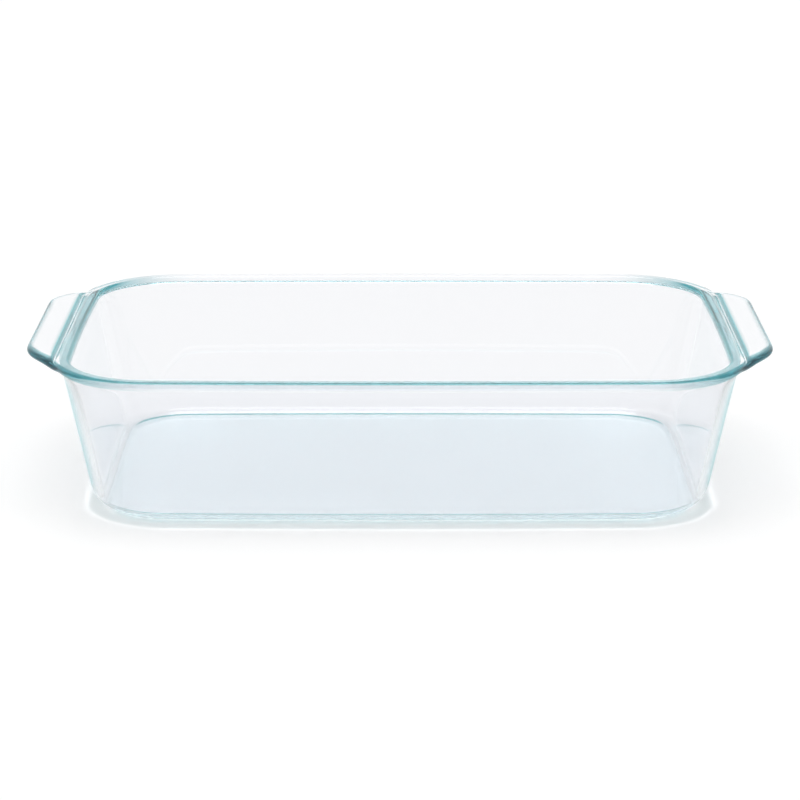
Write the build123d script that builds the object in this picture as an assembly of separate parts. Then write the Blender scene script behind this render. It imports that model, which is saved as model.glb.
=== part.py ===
from build123d import *
import os
from math import radians, sqrt, tan

os.makedirs("parts", exist_ok=True)

# A clear pressed-glass baking dish. Origin at the centre of the base, Z up, X along the dish.

# Plan of the opening, measured at the rim through the middle of the dish
opening_length = 345.6
opening_width = 227.6
opening_corner_radius = 42.0
side_bow = 2.4  # how far each long side bulges outwards between its corners
end_bow = 2.6  # the same for each short end

# Section of the bowl
rim_height = 82.0
wall = 5.2  # measured level
side_draft_angle = 12.4  # lean of the long sides, in degrees
end_draft_angle = 10.6  # lean of the short ends
base_thickness = 5.0
base_corner_radius = 39.0  # in plan, where the walls would meet the table
outer_bottom_radius = 15.0
inner_bottom_radius = 5.0

# Rolled bead round the rim
bead_width = 7.0
bead_height = 5.0
bead_round_share = 0.42  # of the bead's height, for its outer edges
lip_radius = 2.0  # inner edge of the bead

# Handles, a flat ear on each end
handle_reach = 17.2  # from the outside of the bead to the tip
handle_thickness = 5.0
handle_step = 0.5  # how far the inner end of the handle stands above the rim
handle_rise_angle = 5.0  # upward tilt, in degrees
handle_tip_length = 112.0  # across the tip, to where its slanted sides would meet it
handle_side_angle = 38.0  # slant of the sides, in degrees from the tip's line
handle_tip_radius = 22.0
handle_hollow_radius = 25.0  # where the sides run out into the rim
handle_hollow_length = 9.0  # along the bead, from the side of the handle to the end of the hollow
handle_round_share = 0.46  # of the handle's thickness, for its edges

# Groove between the bead and each handle
groove_width = 5.0
groove_depth = 1.5
groove_offset = 0.7  # from the outside of the bead to the middle of the step
groove_step_width = 1.0  # steep outer side of the groove

# Overrun of every cut past the surface that it opens
overrun = 6.0

# Places worked out from the sizes above
seam_height = rim_height - bead_height
bead_end = opening_length / 2 + bead_width
bead_corner_radius = opening_corner_radius + bead_width
bead_corner_x = opening_length / 2 - end_bow - opening_corner_radius
bead_corner_y = opening_width / 2 - side_bow - opening_corner_radius
tip_x = bead_end + handle_reach
handle_tilt = Pos(bead_end, 0, rim_height + handle_step) * Rot(0, -handle_rise_angle, 0) * Pos(-bead_end, 0, 0)


def outline(growth, corner_radius, height, depth=0):
    """The opening's outline with its four bowed sides, grown all round, as the walls lean in at a depth."""
    end_x = opening_length / 2 - end_bow + growth - depth * tan(radians(end_draft_angle))
    side_y = opening_width / 2 - side_bow + growth - depth * tan(radians(side_draft_angle))
    right = ThreePointArc((end_x, -side_y), (end_x + end_bow, 0), (end_x, side_y))
    back = ThreePointArc((end_x, side_y), (0, side_y + side_bow), (-end_x, side_y))
    left = ThreePointArc((-end_x, side_y), (-end_x - end_bow, 0), (-end_x, -side_y))
    front = ThreePointArc((-end_x, -side_y), (0, -side_y - side_bow), (end_x, -side_y))
    sharp = make_face(right + back + left + front)
    return Pos(0, 0, height) * fillet(sharp.vertices(), corner_radius)


def leaning_block(growth, top_height, bottom_corner_radius, bottom_height, bottom_radius):
    """A full block with leaning sides and a round bottom edge."""
    top = outline(growth, opening_corner_radius + growth, top_height, rim_height - top_height)
    bottom = outline(growth, bottom_corner_radius, bottom_height, rim_height - bottom_height)
    block = loft([bottom, top], ruled=True)
    return fillet(block.faces().sort_by(Axis.Z)[0].edges(), bottom_radius)


def bowl_hollow():
    """The space inside the bowl, open at the top."""
    bowl = leaning_block(0, rim_height, base_corner_radius - wall, base_thickness, inner_bottom_radius)
    mouth = extrude(outline(0, opening_corner_radius, rim_height), overrun)
    return bowl + mouth


def bead():
    """The bead round the rim, as a full plate with round edges."""
    plate = extrude(outline(bead_width, bead_corner_radius, seam_height), bead_height)
    faces = plate.faces().sort_by(Axis.Z)
    return fillet(faces[0].edges() + faces[-1].edges(), bead_height * bead_round_share)


def handle_outline():
    """Plan of the right handle, from inside the bead to the tip."""
    tip_y = handle_tip_length / 2
    # The slanted side meets the bead where the bead's corner has hardly begun to turn
    shoulder_x = bead_end - end_bow / 2
    shoulder_y = tip_y + (tip_x - shoulder_x) / tan(radians(handle_side_angle))
    hollow_y = shoulder_y + handle_hollow_length
    past_corner = max(hollow_y - bead_corner_y, 0)
    hollow_x = bead_corner_x + sqrt(bead_corner_radius ** 2 - past_corner ** 2)
    upper = [(tip_x, tip_y), (shoulder_x, shoulder_y), (hollow_x, hollow_y), (bead_corner_x, hollow_y)]
    lower = [(x, -y) for x, y in reversed(upper)]
    face = make_face(Polyline(*lower, *upper, close=True))
    tips = face.vertices().group_by(Axis.X)[-1]
    face = fillet(tips, handle_tip_radius)
    # Counted from the inner end: two corners inside the bowl, two on the bead, then the shoulders
    shoulders = face.vertices().group_by(Axis.X)[2]
    return fillet(shoulders, handle_hollow_radius)


def handle():
    """The right handle: a plate with round edges, tilted up about the outside of the bead."""
    plate = extrude(handle_outline(), -handle_thickness)
    faces = plate.faces().sort_by(Axis.Z)
    plate = fillet(faces[0].edges() + faces[-1].edges(), handle_thickness * handle_round_share)
    return handle_tilt * plate


def groove():
    """The channel between the bead and the right handle, which runs out at the handle's two sides."""
    outer_x = bead_end + groove_offset + groove_step_width / 2
    low_x = outer_x - groove_step_width
    inner_x = outer_x - groove_width
    low = rim_height - groove_depth
    step_top = rim_height + handle_step + (outer_x - bead_end) * tan(radians(handle_rise_angle))
    high = rim_height + overrun
    gentle = TangentArc((inner_x, rim_height), (low_x, low), tangent=(1, 0))
    rest = Polyline((low_x, low), (outer_x, step_top), (outer_x, high),
                    (bead_corner_x, high), (bead_corner_x, rim_height), (inner_x, rim_height))
    across = Plane.XZ * make_face(gentle + rest)
    return extrude(across, opening_width / 2, both=True)


def glass_dish():
    """The whole dish, one pressing of glass."""
    bowl = leaning_block(wall, seam_height, base_corner_radius, 0, outer_bottom_radius)
    right_handle = handle()
    dish = bowl + bead() + right_handle + mirror(right_handle, Plane.YZ)
    right_groove = groove()
    dish = dish - right_groove - mirror(right_groove, Plane.YZ)
    dish = dish - bowl_hollow()
    rim_top = dish.faces().filter_by(Plane.XY).sort_by(Axis.Z)[-1]
    return fillet(rim_top.inner_wires()[0].edges(), lip_radius)


dish = glass_dish()
export_step(dish, "parts/glass_dish.step")
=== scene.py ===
import bpy
import bmesh
from math import cos, pi, radians, sin, sqrt, tan
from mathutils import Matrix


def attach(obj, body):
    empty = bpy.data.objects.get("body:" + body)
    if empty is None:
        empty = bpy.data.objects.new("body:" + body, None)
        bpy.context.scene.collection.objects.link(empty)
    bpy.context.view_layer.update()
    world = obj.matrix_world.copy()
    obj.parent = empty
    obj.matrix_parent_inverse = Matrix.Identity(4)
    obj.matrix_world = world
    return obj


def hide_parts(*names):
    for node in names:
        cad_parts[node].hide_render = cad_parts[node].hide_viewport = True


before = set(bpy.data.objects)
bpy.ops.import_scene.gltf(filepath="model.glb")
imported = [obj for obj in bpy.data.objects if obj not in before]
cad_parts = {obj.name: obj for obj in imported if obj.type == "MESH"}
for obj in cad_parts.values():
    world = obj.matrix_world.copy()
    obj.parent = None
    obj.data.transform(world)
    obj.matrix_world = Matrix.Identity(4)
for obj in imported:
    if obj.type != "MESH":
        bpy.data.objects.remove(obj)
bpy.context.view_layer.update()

mm = 0.001

# The dish, in millimetres: one pressing of clear glass with a rolled bead and a handle at each end
dish = {
    "openingLength": 345.6,  # at the rim, through the middle of the dish
    "openingWidth": 227.6,
    "cornerRadius": 42.0,
    "endBow": 2.6,  # how far each side bulges outwards between its corners
    "sideBow": 2.4,
    "rimHeight": 82.0,
    "wall": 5.2,  # measured level
    "sideLean": 12.4,  # degrees
    "endLean": 10.6,
    "floorThickness": 5.0,
    "baseCornerRadius": 39.0,
    "outerBottomRadius": 15.0,
    "innerBottomRadius": 5.0,
    "beadWidth": 7.0,
    "beadHeight": 5.0,
    "beadRound": 2.1,
    "lipRound": 2.0,
    "flatRing": 10.0,  # between the round edge of the floor and the flat middle
    "cornerParts": 11,  # faces round each corner
    "sideParts": 18,  # faces along each straight side
    "endParts": 20,
    "bottomParts": 7,  # faces across each round edge of the bottom
    "outerWallParts": 4,  # faces up the wall
    "innerWallParts": 5,
    "beadParts": 3,  # faces across each round edge of the bead and the lip
    "straightWithin": 0.01,  # an edge that wanders less than this lies across the dish
    "weldWithin": 0.005,
    "skinLevels": 2,
}

handle = {
    "reach": 17.2,  # past the bead
    "thickness": 5.0,
    "step": 0.5,  # above the rim at the bead
    "rise": 5.0,  # degrees
    "tipLength": 112.0,
    "sideAngle": 38.0,  # degrees
    "tipRadius": 22.0,
    "edgeRound": 2.3,
    "runOut": 88.0,  # from the middle of the handle to where it has run out into the bead
    "runOutSlope": 0.58,
    "runOutSpare": 3.0,  # how far past the run-out its faces reach
    "pullShares": (0.4, 0.8),  # of the reach, the most that the first two of the three pulls take
    "grooveWidth": 5.0,
    "grooveDepth": 1.5,
    "grooveStep": 1.0,
    "grooveOffset": 0.7,  # from the outside of the bead to the middle of the step
    "grooveRunOut": 4.0,  # how far the handle stands out where the groove reaches its full depth
    "grooveSpread": 0.7,  # between two rings of the bead where they dip into the groove
}

glass = {
    "clear": "#fbfafc",
    "tint": "#00cfd6",  # what a long way through the glass leaves of white light
    # Painted shade: the edge and line colours below, with the depths and fades that place them, paint a deeper
    # teal onto the bent edges of the glass. It stands in for the light that runs far inside them
    "edge": "#2c9aa5",  # round the handles and the corners of the bead, where light runs far inside
    "line": "#35868a",  # along the lip, the step and the shoulder of the bead
    "edgePaintedShade": 0.5,  # how deep the colour of the edge is, from 0 for clear to 1 for the line
    "cornerPaintedShade": 0.45,
    "cornerFade": (118.0, 172.0),  # mm from the middle along the dish, where the bead's colour deepens
    "lipFade": (155.0, 172.0),
    "floorFade": (64.0, 84.0),  # mm from the middle across it, where the colour of the floor's edge does
    "density": 5.0,  # per metre
    "ior": 1.5,
    "polished": 0.0,  # roughness of the fire-polished surfaces
    "stippled": 0.65,  # roughness of the underside, from the mould
    "stippleTop": 3.0,  # mm above the table, where the stipple ends
    "rippleSize": 45.0,  # mm from one ripple of the mould to the next
    "rippleHeight": 0.003,  # mm
}

seam = dish["rimHeight"] - dish["beadHeight"]  # where the wall meets the bead
beadEnd = dish["openingLength"] / 2 + dish["beadWidth"]
tipEnd = beadEnd + handle["reach"]
grooveLow = beadEnd + handle["grooveOffset"] - handle["grooveStep"] / 2  # the deepest line of the groove
stepEnd = grooveLow + handle["grooveStep"]  # top of the step that closes it


def wallRings(growth, top, bottom, bottomCorner, radius, roundParts, wallParts):
    # From the flat bottom up round its edge and up the leaning wall. Each ring has its growth past the opening,
    # corner radius and height, and how much farther out its ends stand, because they lean less
    lean = radians(dish["sideLean"])
    spread = tan(lean) - tan(radians(dish["endLean"]))
    rings = []
    for part in range(roundParts + wallParts + 1):
        turn = (pi / 2 - lean) * min(part / roundParts, 1)
        inset = radius / cos(lean) - radius * sin(turn) - radius * cos(turn) * tan(lean)
        height = bottom + radius - radius * cos(turn)
        height += (top - height) * max(part - roundParts, 0) / wallParts
        below = dish["rimHeight"] - height
        share = (height - bottom) / (top - bottom)
        corner = bottomCorner + share * (dish["cornerRadius"] + growth - bottomCorner) - inset
        rings.append((growth - below * tan(lean) - inset, corner, height, below * spread))
    return rings


def roundRings(growth, height, radius, start, end):
    # Across a round edge, from one angle to the other
    rings = []
    for part in range(dish["beadParts"] + 1):
        turn = radians(start + (end - start) * part / dish["beadParts"])
        ringGrowth = growth + radius * cos(turn)
        rings.append((ringGrowth, dish["cornerRadius"] + ringGrowth, height + radius * sin(turn)))
    return rings


def makeRing(mesh, number, growth, cornerRadius, height, endGrowth=0):
    # One closed line of edges: a rectangle with round corners, its sides cut up and bowed outwards
    ringOf = mesh.verts.layers.int["ring"]
    halfLength = dish["openingLength"] / 2 - dish["endBow"] + growth + endGrowth
    halfWidth = dish["openingWidth"] / 2 - dish["sideBow"] + growth
    corners = bmesh.ops.create_grid(mesh, x_segments=1, y_segments=1, size=1)["verts"]
    bmesh.ops.scale(mesh, verts=corners, vec=(halfLength, halfWidth, 1))
    bmesh.ops.bevel(mesh, geom=corners, offset=cornerRadius, offset_type="OFFSET", affect="VERTICES",
                    segments=dish["cornerParts"], profile=0.5, material=-1)
    outline = mesh.faces[:][0]
    ends = [e for e in outline.edges
            if abs(e.verts[0].co.x - e.verts[1].co.x) < dish["straightWithin"]]
    bmesh.ops.delete(mesh, geom=[outline], context="FACES_ONLY")
    bmesh.ops.subdivide_edges(mesh, edges=ends, cuts=dish["endParts"] - 1)
    sides = [e for e in mesh.edges if not e.verts[0][ringOf] and e.calc_length() > cornerRadius]
    bmesh.ops.subdivide_edges(mesh, edges=sides, cuts=dish["sideParts"] - 1)
    for v in mesh.verts:
        if not v[ringOf]:
            x, y = v.co.x, v.co.y
            v.co.x += dish["endBow"] * (1 - (y / halfWidth) ** 2) * x / halfLength
            v.co.y += dish["sideBow"] * (1 - (x / halfLength) ** 2) * y / halfWidth
            v.co.z = height
            v[ringOf] = number


def fadeIn(place, start, end):
    # 0 up to the start, 1 from the end on, and a smooth rise between them
    share = min(max((place - start) / (end - start), 0), 1)
    return share * share * (3 - 2 * share)


def ringEdges(mesh, number):
    # The closed line of edges that makeRing made with this number
    ringOf = mesh.verts.layers.int["ring"]
    return [e for e in mesh.edges if e.verts[0][ringOf] == e.verts[1][ringOf] == number]


def grooveHeight(x):
    # Top of the glass at the foot of the handle: down a gentle curve from the bead, then a steep step up
    inner = stepEnd - handle["grooveWidth"]
    run = grooveLow - inner
    radius = (run ** 2 + handle["grooveDepth"] ** 2) / (2 * handle["grooveDepth"])
    if x < inner:
        return dish["rimHeight"]
    if x < grooveLow:
        return dish["rimHeight"] - radius + sqrt(radius ** 2 - (x - inner) ** 2)
    top = dish["rimHeight"] + handle["step"] + (x - beadEnd) * tan(radians(handle["rise"]))
    share = min((x - grooveLow) / (stepEnd - grooveLow), 1)
    return top - (1 - share) * (top - dish["rimHeight"] + handle["grooveDepth"])


def handleEdge(y):
    # Plan of the handle's outline: the tip, its round corner, the slanted side, and the run-out into the bead
    y = abs(y)
    slope = tan(radians(handle["sideAngle"]))
    tipHalf = handle["tipLength"] / 2
    tangent = handle["tipRadius"] * tan(radians(handle["sideAngle"]) / 2)
    roundEnd = tipHalf + tangent * cos(radians(handle["sideAngle"]))
    shoulder = tipHalf + (tipEnd - beadEnd + dish["endBow"] / 2) / slope
    if y < tipHalf - tangent:
        return tipEnd
    if y < roundEnd:
        return tipEnd - handle["tipRadius"] + sqrt(handle["tipRadius"] ** 2 - (y - tipHalf + tangent) ** 2)
    if y < shoulder:
        return tipEnd - (y - tipHalf) * slope
    return tipEnd - (shoulder - tipHalf) * slope - (y - shoulder) * handle["runOutSlope"]


def pullHandles(mesh, firstRing, lastRing):
    # Pulls both handles out of the side of the bead, which lies between these two rings, in three pulls: to the
    # top of the step, a little past it, and out to the round edge
    ringOf = mesh.verts.layers.int["ring"]
    paintedShadeOf = mesh.verts.layers.float["painted_edge_shade"]
    startOf = mesh.verts.layers.float_vector.new("start")
    for v in mesh.verts:
        v[startOf] = v.co
    faceEnd = handle["runOut"] + handle["runOutSpare"]
    faces = [f for f in mesh.faces if all(firstRing <= v[ringOf] <= lastRing
                                          and abs(v.co.y) < faceEnd
                                          and abs(v.co.x) > beadEnd / 2 for v in f.verts)]
    firstShare, secondShare = handle["pullShares"]
    for pull in range(3):
        made = bmesh.ops.extrude_face_region(mesh, geom=faces)["geom"]
        bmesh.ops.delete(mesh, geom=faces, context="FACES")
        faces = [g for g in made if isinstance(g, bmesh.types.BMFace)]
        for v in [g for g in made if isinstance(g, bmesh.types.BMVert)]:
            start = v[startOf]
            side = 1 if start.x > 0 else -1
            startX = abs(start.x)
            reach = max(handleEdge(v.co.y) - startX, 0) if abs(start.y) < handle["runOut"] else 0
            share = min(reach / handle["edgeRound"], 1)
            flat = startX + reach - handle["edgeRound"] * share
            x = [min(stepEnd, startX + (flat - startX) * firstShare),
                 min(stepEnd + handle["grooveStep"], startX + (flat - startX) * secondShare), flat][pull]
            turn = pi * (v[ringOf] - firstRing) / (lastRing - firstRing) - pi / 2
            middle = grooveHeight(x) - handle["thickness"] / 2
            if pull == 2:
                x += handle["edgeRound"] * share * cos(turn)
            z = middle + handle["thickness"] / 2 * sin(turn)
            v.co.x = side * (startX + share * (x - startX))
            v.co.z = start.z + share * (z - start.z)
            # Painted shade: a deep line on top of the step, and a deep colour round the edge that fades on the
            # flats, where light runs far inside the glass
            depth = [1.0 if v[ringOf] == lastRing else 0.0, 0.0, glass["edgePaintedShade"] * cos(turn)][pull]
            v[paintedShadeOf] += share * (depth - v[paintedShadeOf])
    bmesh.ops.remove_doubles(mesh, verts=mesh.verts, dist=dish["weldWithin"])


def makeDish():
    mesh = bmesh.new()
    ringOf = mesh.verts.layers.int.new("ring")
    paintedShadeOf = mesh.verts.layers.float.new("painted_edge_shade")
    lean = radians(dish["sideLean"])
    # Up the outside, round the bead and the lip, and down the inside to the floor
    base = wallRings(dish["wall"], seam, 0, dish["baseCornerRadius"], dish["outerBottomRadius"],
                     dish["bottomParts"], dish["outerWallParts"])
    floor = wallRings(0, dish["rimHeight"], dish["floorThickness"], dish["baseCornerRadius"] - dish["wall"],
                      dish["innerBottomRadius"], dish["bottomParts"], dish["innerWallParts"])
    beadCentre = dish["beadWidth"] - dish["beadRound"]
    under = roundRings(beadCentre, seam + dish["beadRound"], dish["beadRound"], -90, 0)
    over = roundRings(beadCentre, dish["rimHeight"] - dish["beadRound"], dish["beadRound"], 0, 90)
    lipCentre = dish["lipRound"] * (1 - sin(lean)) / cos(lean)
    lip = roundRings(lipCentre, dish["rimHeight"] - dish["lipRound"], dish["lipRound"],
                     90, 180 - dish["sideLean"])
    rings = base + under + over + lip + floor[-2::-1]
    for number, ring in enumerate(rings, 1):
        makeRing(mesh, number, *ring)
    for number in range(1, len(rings)):
        bmesh.ops.bridge_loops(mesh, edges=ringEdges(mesh, number) + ringEdges(mesh, number + 1))
    for number in (1, len(rings)):
        flat = bmesh.ops.edgeloop_fill(mesh, edges=ringEdges(mesh, number))["faces"]
        bmesh.ops.inset_region(mesh, faces=flat, thickness=dish["flatRing"], use_even_offset=True)
    # The first ring of the bead's lower round, of its upper round and of the lip
    underRing = len(base) + 1
    sideRing = underRing + len(under)
    lipRing = sideRing + len(over)
    # How deep the painted teal shade of the glass is along the bead, its shoulder, the lip and the edge of the
    # floor, where light runs far inside it
    for v in mesh.verts:
        if underRing < v[ringOf] < lipRing - 2:
            v[paintedShadeOf] = glass["cornerPaintedShade"] * fadeIn(abs(v.co.x), *glass["cornerFade"])
        elif v[ringOf] == lipRing - 2:
            v[paintedShadeOf] = 1.0
        elif lipRing < v[ringOf] < lipRing + len(lip) - 1:
            v[paintedShadeOf] = fadeIn(abs(v.co.x), *glass["lipFade"])
        elif v[ringOf] == len(rings) - 1:
            v[paintedShadeOf] = fadeIn(abs(v.co.y), *glass["floorFade"])
    # The bead dips into the groove beside each handle
    for v in mesh.verts:
        onBead = sideRing <= v[ringOf] < lipRing
        if onBead and abs(v.co.y) < handle["runOut"] and abs(v.co.x) > beadEnd / 2:
            side = 1 if v.co.x > 0 else -1
            share = min(max(handleEdge(v.co.y) - abs(v.co.x), 0) / handle["grooveRunOut"], 1)
            x = grooveLow - (v[ringOf] - sideRing) * handle["grooveSpread"]
            v.co.x = side * (abs(v.co.x) + share * (x - abs(v.co.x)))
            v.co.z += share * (grooveHeight(abs(v.co.x)) - v.co.z)
            v[paintedShadeOf] *= 1 - share
    pullHandles(mesh, underRing, sideRing)
    bmesh.ops.recalc_face_normals(mesh, faces=mesh.faces)
    bmesh.ops.scale(mesh, verts=mesh.verts, vec=(mm, mm, mm))
    data = bpy.data.meshes.new("pressed_dish")
    mesh.to_mesh(data)
    mesh.free()
    data.shade_smooth()
    piece = bpy.data.objects.new("pressed_dish", data)
    bpy.context.scene.collection.objects.link(piece)
    smooth = piece.modifiers.new("Smooth skin", "SUBSURF")
    smooth.levels = smooth.render_levels = dish["skinLevels"]
    return piece


def toLinear(hexColour):
    values = [int(hexColour[i:i + 2], 16) / 255 for i in (1, 3, 5)]
    return [v / 12.92 if v <= 0.04045 else ((v + 0.055) / 1.055) ** 2.4 for v in values] + [1]


def addNode(tree, kind, settings=None, links=None):
    node = tree.nodes.new(kind)
    for name, value in (settings or {}).items():
        if isinstance(name, int) or name in node.inputs:
            node.inputs[name].default_value = value
        else:
            setattr(node, name, value)
    for name, output in (links or {}).items():
        tree.links.new(output, node.inputs[name])
    return node


def startMaterial(name):
    material = bpy.data.materials.new(name)
    material.use_nodes = True
    material.node_tree.nodes.clear()
    return material, material.node_tree


def pressedGlass():
    # Soda-lime glass pressed in an iron mould and fire-polished: clear and glossy, and blue-green edge on,
    # partly from its own tint and partly from a painted shade along its bent edges. The mould's ripple bends
    # what shows through it, and the rough underside lets out the light that runs down the walls, as a pale band
    # round the bottom
    material, tree = startMaterial("pressed_soda_lime_glass")
    place = addNode(tree, "ShaderNodeTexCoord")
    ripple = addNode(tree, "ShaderNodeTexNoise", {"Scale": 1 / (glass["rippleSize"] * mm), "Detail": 1.0},
                     {"Vector": place.outputs["Object"]})
    bump = addNode(tree, "ShaderNodeBump", {"Strength": 1.0, "Distance": glass["rippleHeight"] * mm},
                   {"Height": ripple.outputs["Fac"]})
    height = addNode(tree, "ShaderNodeSeparateXYZ", {}, {"Vector": place.outputs["Object"]})
    stipple = addNode(tree, "ShaderNodeMapRange", {
        "From Min": 0.0, "From Max": glass["stippleTop"] * mm,
        "To Min": glass["stippled"], "To Max": glass["polished"]}, {"Value": height.outputs["Z"]})
    # Painted shade: the mesh says how deep the teal is painted, so the thin teal lines, which stand in for light
    # that runs far through the bent edges, follow its edges
    depth = addNode(tree, "ShaderNodeAttribute", {"attribute_name": "painted_edge_shade"})
    edges = addNode(tree, "ShaderNodeValToRGB", {}, {"Fac": depth.outputs["Fac"]})
    edges.color_ramp.elements[0].color = toLinear(glass["clear"])
    edges.color_ramp.elements[1].color = toLinear(glass["line"])
    edges.color_ramp.elements.new(glass["edgePaintedShade"]).color = toLinear(glass["edge"])
    surface = addNode(tree, "ShaderNodeBsdfPrincipled", {"IOR": glass["ior"], "Transmission Weight": 1.0}, {
        "Base Color": edges.outputs["Color"], "Normal": bump.outputs["Normal"],
        "Roughness": stipple.outputs["Result"]})
    inside = addNode(tree, "ShaderNodeVolumeAbsorption", {
        "Color": toLinear(glass["tint"]), "Density": glass["density"]})
    addNode(tree, "ShaderNodeOutputMaterial", {}, {"Surface": surface.outputs[0], "Volume": inside.outputs[0]})
    return material


studio = {
    "floorHalf": 6.0,  # metres
    "paper": "#f0f0f0",
    "paperDrop": 0.3,  # mm below the dish
    "paperGlow": 0.19,
    "paperHalf": 0.18,  # metres from its middle line to its edges, beside the dish
    "paperSpread": 0.35,  # how much wider it gets with each metre behind the dish
    "edgeSoftness": 0.16,
    "room": 0.65,  # brightness of the studio beside the paper, as glass shows it
    "sweepEdge": (0.3, 0.75),  # how squarely a ray goes back where the room turns into the sweep
    "softboxEdge": (0.6, 0.85),  # how squarely one goes up where it turns into the softbox
    "seenDepth": 0.5,  # diffuse bounces, past which a ray only gathers light for a matt surface
    "skyLight": 0.45,
    "sunLight": 1.55,
    "sunAngle": 45.0,  # degrees across, as from a wide softbox
    "sunLean": (5.0, -2.4),  # degrees from straight down, about X and Y
    "bounces": 300,  # light runs far inside the walls before it gets out
}


def mathNode(tree, operation, *values):
    # A value is a number or another node's output
    node = addNode(tree, "ShaderNodeMath", {"operation": operation})
    for place, value in enumerate(values):
        if isinstance(value, float):
            node.inputs[place].default_value = value
        else:
            tree.links.new(value, node.inputs[place])
    return node.outputs[0]


def smoothRange(tree, value, start, end, before=0.0, after=1.0):
    node = addNode(tree, "ShaderNodeMapRange", {
        "interpolation_type": "SMOOTHSTEP", "From Min": start, "From Max": end,
        "To Min": before, "To Max": after}, {"Value": value})
    return node.outputs["Result"]


def makeFloor():
    # Matt white paper, which keeps the dish's shadow and glows a little for the camera and the glass. Beside it,
    # the glass shows a dimmer room
    mesh = bmesh.new()
    bmesh.ops.create_grid(mesh, x_segments=1, y_segments=1, size=studio["floorHalf"])
    bmesh.ops.translate(mesh, verts=mesh.verts, vec=(0, 0, -studio["paperDrop"] * mm))
    data = bpy.data.meshes.new("studio_floor")
    mesh.to_mesh(data)
    mesh.free()
    floor = bpy.data.objects.new("studio_floor", data)
    bpy.context.scene.collection.objects.link(floor)
    material, tree = startMaterial("white_paper_sweep")
    path = addNode(tree, "ShaderNodeLightPath")
    place = addNode(tree, "ShaderNodeTexCoord")
    parts = addNode(tree, "ShaderNodeSeparateXYZ", {}, {"Vector": place.outputs["Object"]})
    behind = mathNode(tree, "MAXIMUM", parts.outputs["Y"], 0.0)
    spread = mathNode(tree, "MULTIPLY", behind, studio["paperSpread"])
    across = mathNode(tree, "ABSOLUTE", parts.outputs["X"])
    beside = mathNode(tree, "SUBTRACT", across, spread)
    softEnd = studio["paperHalf"] + studio["edgeSoftness"]
    paperShare = smoothRange(tree, beside, studio["paperHalf"], softEnd, 1.0, 0.0)
    onPaper = mathNode(tree, "MAXIMUM", paperShare, path.outputs["Is Camera Ray"])
    seen = mathNode(tree, "LESS_THAN", path.outputs["Diffuse Depth"], studio["seenDepth"])
    strength = mathNode(tree, "MULTIPLY", seen, studio["paperGlow"])
    paper = addNode(tree, "ShaderNodeBsdfDiffuse", {"Color": toLinear(studio["paper"])})
    glow = addNode(tree, "ShaderNodeEmission", {}, {"Strength": strength})
    lit = addNode(tree, "ShaderNodeAddShader", {}, {0: paper.outputs[0], 1: glow.outputs[0]})
    level = studio["room"]
    room = addNode(tree, "ShaderNodeBsdfDiffuse", {"Color": (level, level, level, 1)})
    both = addNode(tree, "ShaderNodeMixShader", {}, {"Fac": onPaper, 1: room.outputs[0], 2: lit.outputs[0]})
    addNode(tree, "ShaderNodeOutputMaterial", {}, {"Surface": both.outputs[0]})
    data.materials.append(material)


def makeWorld():
    # Plain light all round for the object. The camera sees white, and glass shows the white sweep behind it,
    # a softbox overhead and the darker room on its other sides
    world = bpy.data.worlds.new("white_studio")
    bpy.context.scene.world = world
    world.use_nodes = True
    tree = world.node_tree
    tree.nodes.clear()
    path = addNode(tree, "ShaderNodeLightPath")
    place = addNode(tree, "ShaderNodeTexCoord")
    parts = addNode(tree, "ShaderNodeSeparateXYZ", {}, {"Vector": place.outputs["Generated"]})
    behind = smoothRange(tree, parts.outputs["Y"], *studio["sweepEdge"])
    above = smoothRange(tree, parts.outputs["Z"], *studio["softboxEdge"])
    bright = mathNode(tree, "MAXIMUM", behind, above)
    white = mathNode(tree, "MAXIMUM", bright, path.outputs["Is Camera Ray"])
    strength = addNode(tree, "ShaderNodeMapRange", {"To Min": studio["room"], "To Max": 1.0}, {"Value": white})
    shown = addNode(tree, "ShaderNodeBackground", {"Color": (1, 1, 1, 1)},
                    {"Strength": strength.outputs["Result"]})
    light = addNode(tree, "ShaderNodeBackground", {"Color": (1, 1, 1, 1), "Strength": studio["skyLight"]})
    lighting = mathNode(tree, "GREATER_THAN", path.outputs["Diffuse Depth"], studio["seenDepth"])
    both = addNode(tree, "ShaderNodeMixShader", {}, {"Fac": lighting, 1: shown.outputs[0], 2: light.outputs[0]})
    addNode(tree, "ShaderNodeOutputWorld", {}, {"Surface": both.outputs[0]})


def makeSun():
    lamp = bpy.data.lights.new("wide_softbox", "SUN")
    lamp.energy = studio["sunLight"]
    lamp.angle = radians(studio["sunAngle"])
    piece = bpy.data.objects.new("wide_softbox", lamp)
    piece.rotation_euler = [radians(lean) for lean in studio["sunLean"]] + [0]
    bpy.context.scene.collection.objects.link(piece)


camera = {
    "distance": 1.463,  # in front of the middle of the dish
    "height": 0.458,
    "tilt": 15.98,  # degrees downwards
    "lens": 124.92,
    "sensor": 36,
}


def makeCamera():
    data = bpy.data.cameras.new("photo_camera")
    data.lens = camera["lens"]
    data.sensor_width = camera["sensor"]
    piece = bpy.data.objects.new("photo_camera", data)
    piece.location = (0, -camera["distance"], camera["height"])
    piece.rotation_euler = (radians(90 - camera["tilt"]), 0, 0)
    bpy.context.scene.collection.objects.link(piece)
    bpy.context.scene.camera = piece


piece = makeDish()
piece.data.materials.append(pressedGlass())
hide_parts("glass_dish")
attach(piece, "root")
print("dish made")

makeFloor()
makeWorld()
makeSun()
makeCamera()
print("studio made")

scene = bpy.context.scene
scene.view_settings.view_transform = "Standard"
scene.cycles.max_bounces = studio["bounces"]
scene.cycles.transmission_bounces = studio["bounces"]
scene.cycles.glossy_bounces = studio["bounces"]
scene.cycles.blur_glossy = 0.0
